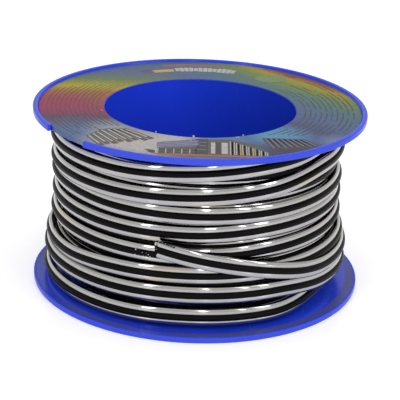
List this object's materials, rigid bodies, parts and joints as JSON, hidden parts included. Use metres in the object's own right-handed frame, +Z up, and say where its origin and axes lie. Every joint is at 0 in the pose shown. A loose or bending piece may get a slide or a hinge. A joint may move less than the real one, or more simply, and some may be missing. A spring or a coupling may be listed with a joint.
{
  "type": "reel of trim strip",
  "caption": "Blue flanged reel with a wide bore, wound with black trim strip that carries two chrome bands; the strip's free end peels off.",
  "frame": {"origin": "centre of the circle on which the lower flange's rim stands", "axes": "+Z up along the reel's axis; -Y towards the strip's cut end, so +X is to its right"},
  "size_m": [0.2, 0.2, 0.11],
  "materials": {
    "reel_plastic": "smooth moulded, slightly scuffed",
    "label_film": "satin printed film with a rainbow sheen",
    "strip_black": "smooth soft plastic",
    "strip_chrome": "mirror-bright metallised film"
  },
  "bodies": {
    "reel": {"core_tube": "reel_plastic", "lower_flange": "reel_plastic", "upper_flange": "reel_plastic", "ring_label": "label_film", "strip_layer_1": "strip_black", "strip_layer_2": "strip_black", "strip_layer_3": "strip_black", "strip_layer_4": "strip_black", "strip_layer_5": "strip_black", "strip_layer_6": "strip_black", "strip_layer_7": "strip_black", "last_turn_carrier": "strip_black", "last_turn_film_upper": "strip_chrome", "last_turn_film_lower": "strip_chrome"},
    "tail_root": {"tail_root_carrier": "strip_black", "tail_root_film_upper": "strip_chrome", "tail_root_film_lower": "strip_chrome"},
    "tail_mid": {"tail_mid_carrier": "strip_black", "tail_mid_film_upper": "strip_chrome", "tail_mid_film_lower": "strip_chrome"},
    "tail_tip": {"tail_tip_carrier": "strip_black", "tail_tip_film_upper": "strip_chrome", "tail_tip_film_lower": "strip_chrome"}
  },
  "joints": [
    {"name": "peel_root", "type": "hinge", "parent": "reel", "child": "tail_root", "pos_m": [0.08867, -0.02376, 0.029], "axis": [0, 0, 1], "range_deg": [0, 30], "stiffness_Nm_per_rad": 0.05},
    {"name": "peel_mid", "type": "hinge", "parent": "tail_root", "child": "tail_mid", "pos_m": [0.06491, -0.06491, 0.0325], "axis": [0, 0, 1], "range_deg": [0, 30], "stiffness_Nm_per_rad": 0.05},
    {"name": "peel_tip", "type": "hinge", "parent": "tail_mid", "child": "tail_tip", "pos_m": [0.02376, -0.08867, 0.0425], "axis": [0, 0, 1], "range_deg": [0, 30], "stiffness_Nm_per_rad": 0.05}
  ],
  "couplings": [
    {"joint": "peel_mid", "follows": "peel_root", "ratio": 1},
    {"joint": "peel_tip", "follows": "peel_root", "ratio": 1}
  ]
}
